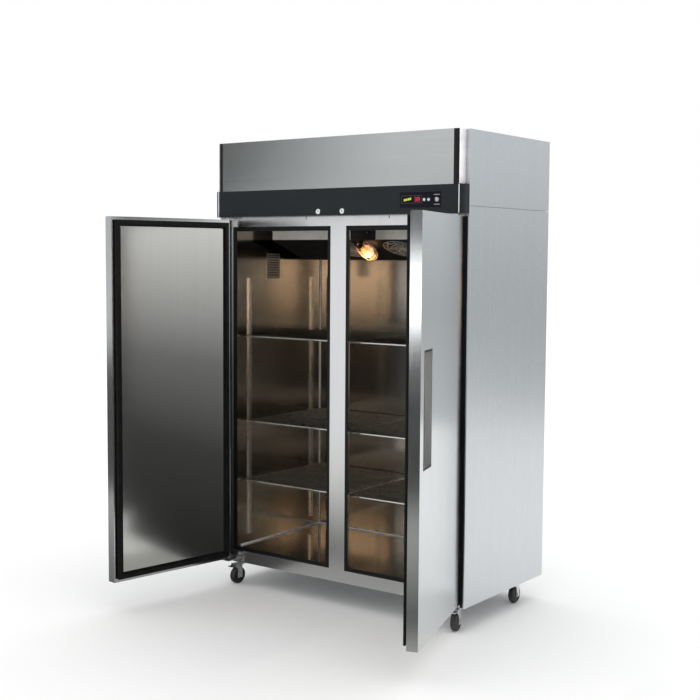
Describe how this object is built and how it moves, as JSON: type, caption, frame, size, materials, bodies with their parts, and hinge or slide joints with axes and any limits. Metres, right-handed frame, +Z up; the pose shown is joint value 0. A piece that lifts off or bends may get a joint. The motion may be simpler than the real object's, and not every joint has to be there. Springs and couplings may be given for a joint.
{
  "type": "reach in refrigerator",
  "caption": "upright two-section reach-in refrigerator in brushed stainless steel with hinged solid doors, wire shelves, control fascia over the doors and swivel casters",
  "frame": {"origin": "centre of the cabinet's underside, where the casters bolt on", "axes": "+Z up, -Y the side with the doors, +X to the right of somebody facing the doors"},
  "size_m": [1.6311, 1.3594, 2.107],
  "materials": {
    "stainless": "satin",
    "galvanised": "satin",
    "foam": "matte",
    "black_plastic": "satin",
    "fascia_plastic": "satin",
    "display_plastic": "gloss",
    "button_plastic": "satin",
    "gasket_rubber": "matte",
    "plated_wire": "satin",
    "lock_chrome": "polished",
    "bulb_glass": "gloss",
    "fin_aluminium": "satin",
    "black_steel": "satin",
    "zinc_plate": "satin",
    "caster_tyre": "matte"
  },
  "bodies": {
    "cabinet": {"left_side_panel": "stainless", "right_side_panel": "stainless", "upper_side_panels": "stainless", "back_panel": "galvanised", "rear_grille": "galvanised", "base_pan": "galvanised", "machine_deck": "galvanised", "foam_insulation": "foam", "wall_liners": "stainless", "floor_liner": "stainless", "ceiling_liner": "stainless", "face_frame": "stainless", "breaker_strips": "black_plastic", "service_panel": "stainless", "end_caps": "black_plastic", "control_fascia": "fascia_plastic", "display_module": "display_plastic", "evaporator_cover": "stainless", "fan_deck": "black_plastic", "fan_guards": "plated_wire", "fan_motors": "black_steel", "evaporator_coil": "fin_aluminium", "lamp_holder": "black_plastic", "lamp_bulb": "bulb_glass", "pilasters": "stainless", "shelf_clips": "stainless", "left_shelves": "plated_wire", "right_shelves": "plated_wire", "compressor": "black_steel", "condenser_coil": "fin_aluminium", "condenser_shroud": "galvanised", "hinge_brackets": "stainless", "caster_plates": "zinc_plate"},
    "left_door": {"left_door_outer": "stainless", "left_door_foam": "foam", "left_door_inner": "stainless", "left_door_gasket": "gasket_rubber", "left_door_pull_cup": "stainless"},
    "right_door": {"right_door_outer": "stainless", "right_door_foam": "foam", "right_door_inner": "stainless", "right_door_gasket": "gasket_rubber", "right_door_pull_cup": "stainless"},
    "left_fan": {"left_fan": "black_plastic"},
    "right_fan": {"right_fan": "black_plastic"},
    "condenser_fan": {"condenser_fan": "black_plastic"},
    "left_lock": {"left_lock_core": "lock_chrome"},
    "right_lock": {"right_lock_core": "lock_chrome"},
    "up_button": {"up_button": "button_plastic"},
    "down_button": {"down_button": "button_plastic"},
    "front_left_caster": {"front_left_fork": "zinc_plate"},
    "front_left_wheel": {"front_left_wheel": "caster_tyre"},
    "front_left_brake": {"front_left_brake_lever": "zinc_plate"},
    "front_right_caster": {"front_right_fork": "zinc_plate"},
    "front_right_wheel": {"front_right_wheel": "caster_tyre"},
    "front_right_brake": {"front_right_brake_lever": "zinc_plate"},
    "rear_left_caster": {"rear_left_fork": "zinc_plate"},
    "rear_left_wheel": {"rear_left_wheel": "caster_tyre"},
    "rear_right_caster": {"rear_right_fork": "zinc_plate"},
    "rear_right_wheel": {"rear_right_wheel": "caster_tyre"}
  },
  "joints": [
    {"name": "left_door_swing", "type": "hinge", "parent": "cabinet", "child": "left_door", "pos_m": [-0.6434, -0.3723, 0.8], "axis": [0, 0, -1], "range_deg": [-99.5, 20.5]},
    {"name": "right_door_swing", "type": "hinge", "parent": "cabinet", "child": "right_door", "pos_m": [0.6434, -0.3723, 0.8], "axis": [0, 0, 1], "range_deg": [-107.5, 12.5]},
    {"name": "left_fan_spin", "type": "hinge", "parent": "cabinet", "child": "left_fan", "pos_m": [-0.155, -0.045, 1.51301], "axis": [0, 0.3628, 0.9319], "continuous": true},
    {"name": "right_fan_spin", "type": "hinge", "parent": "cabinet", "child": "right_fan", "pos_m": [0.155, -0.045, 1.51301], "axis": [0, 0.3628, 0.9319], "continuous": true},
    {"name": "condenser_fan_spin", "type": "hinge", "parent": "cabinet", "child": "condenser_fan", "pos_m": [0.24, -0.15, 1.802], "axis": [0, 1, 0], "continuous": true},
    {"name": "left_lock_turn", "type": "hinge", "parent": "cabinet", "child": "left_lock", "pos_m": [-0.066, -0.39, 1.67], "axis": [0, -1, 0], "range_deg": [0, 90]},
    {"name": "right_lock_turn", "type": "hinge", "parent": "cabinet", "child": "right_lock", "pos_m": [0.066, -0.39, 1.67], "axis": [0, -1, 0], "range_deg": [0, 90]},
    {"name": "up_button_press", "type": "slide", "parent": "cabinet", "child": "up_button", "axis": [0, 1, 0], "range_m": [0, 0.0012], "stiffness_N_per_m": 300},
    {"name": "down_button_press", "type": "slide", "parent": "cabinet", "child": "down_button", "axis": [0, 1, 0], "range_m": [0, 0.0012], "stiffness_N_per_m": 300},
    {"name": "front_left_swivel", "type": "hinge", "parent": "cabinet", "child": "front_left_caster", "pos_m": [-0.612, -0.285, -0.02], "axis": [0, 0, 1], "continuous": true},
    {"name": "front_left_roll", "type": "hinge", "parent": "front_left_caster", "child": "front_left_wheel", "pos_m": [-0.6159, -0.31273, -0.072], "axis": [0.9903, -0.1392, 0], "continuous": true},
    {"name": "front_left_brake_press", "type": "hinge", "parent": "front_left_caster", "child": "front_left_brake", "pos_m": [-0.61868, -0.33253, -0.027], "axis": [0.9903, -0.1392, 0], "range_deg": [0, 20]},
    {"name": "front_right_swivel", "type": "hinge", "parent": "cabinet", "child": "front_right_caster", "pos_m": [0.612, -0.285, -0.02], "axis": [0, 0, 1], "continuous": true},
    {"name": "front_right_roll", "type": "hinge", "parent": "front_right_caster", "child": "front_right_wheel", "pos_m": [0.61925, -0.31205, -0.072], "axis": [0.9659, 0.2588, 0], "continuous": true},
    {"name": "front_right_brake_press", "type": "hinge", "parent": "front_right_caster", "child": "front_right_brake", "pos_m": [0.62442, -0.33136, -0.027], "axis": [0.9659, 0.2588, 0], "range_deg": [0, 20]},
    {"name": "rear_left_swivel", "type": "hinge", "parent": "cabinet", "child": "rear_left_caster", "pos_m": [-0.612, 0.24, -0.02], "axis": [0, 0, 1], "continuous": true},
    {"name": "rear_left_roll", "type": "hinge", "parent": "rear_left_caster", "child": "rear_left_wheel", "pos_m": [-0.61686, 0.26758, -0.072], "axis": [-0.9848, -0.1736, 0], "continuous": true},
    {"name": "rear_right_swivel", "type": "hinge", "parent": "cabinet", "child": "rear_right_caster", "pos_m": [0.612, 0.24, -0.02], "axis": [0, 0, 1], "continuous": true},
    {"name": "rear_right_roll", "type": "hinge", "parent": "rear_right_caster", "child": "rear_right_wheel", "pos_m": [0.61444, 0.21211, -0.072], "axis": [0.9962, 0.0872, 0], "continuous": true}
  ]
}
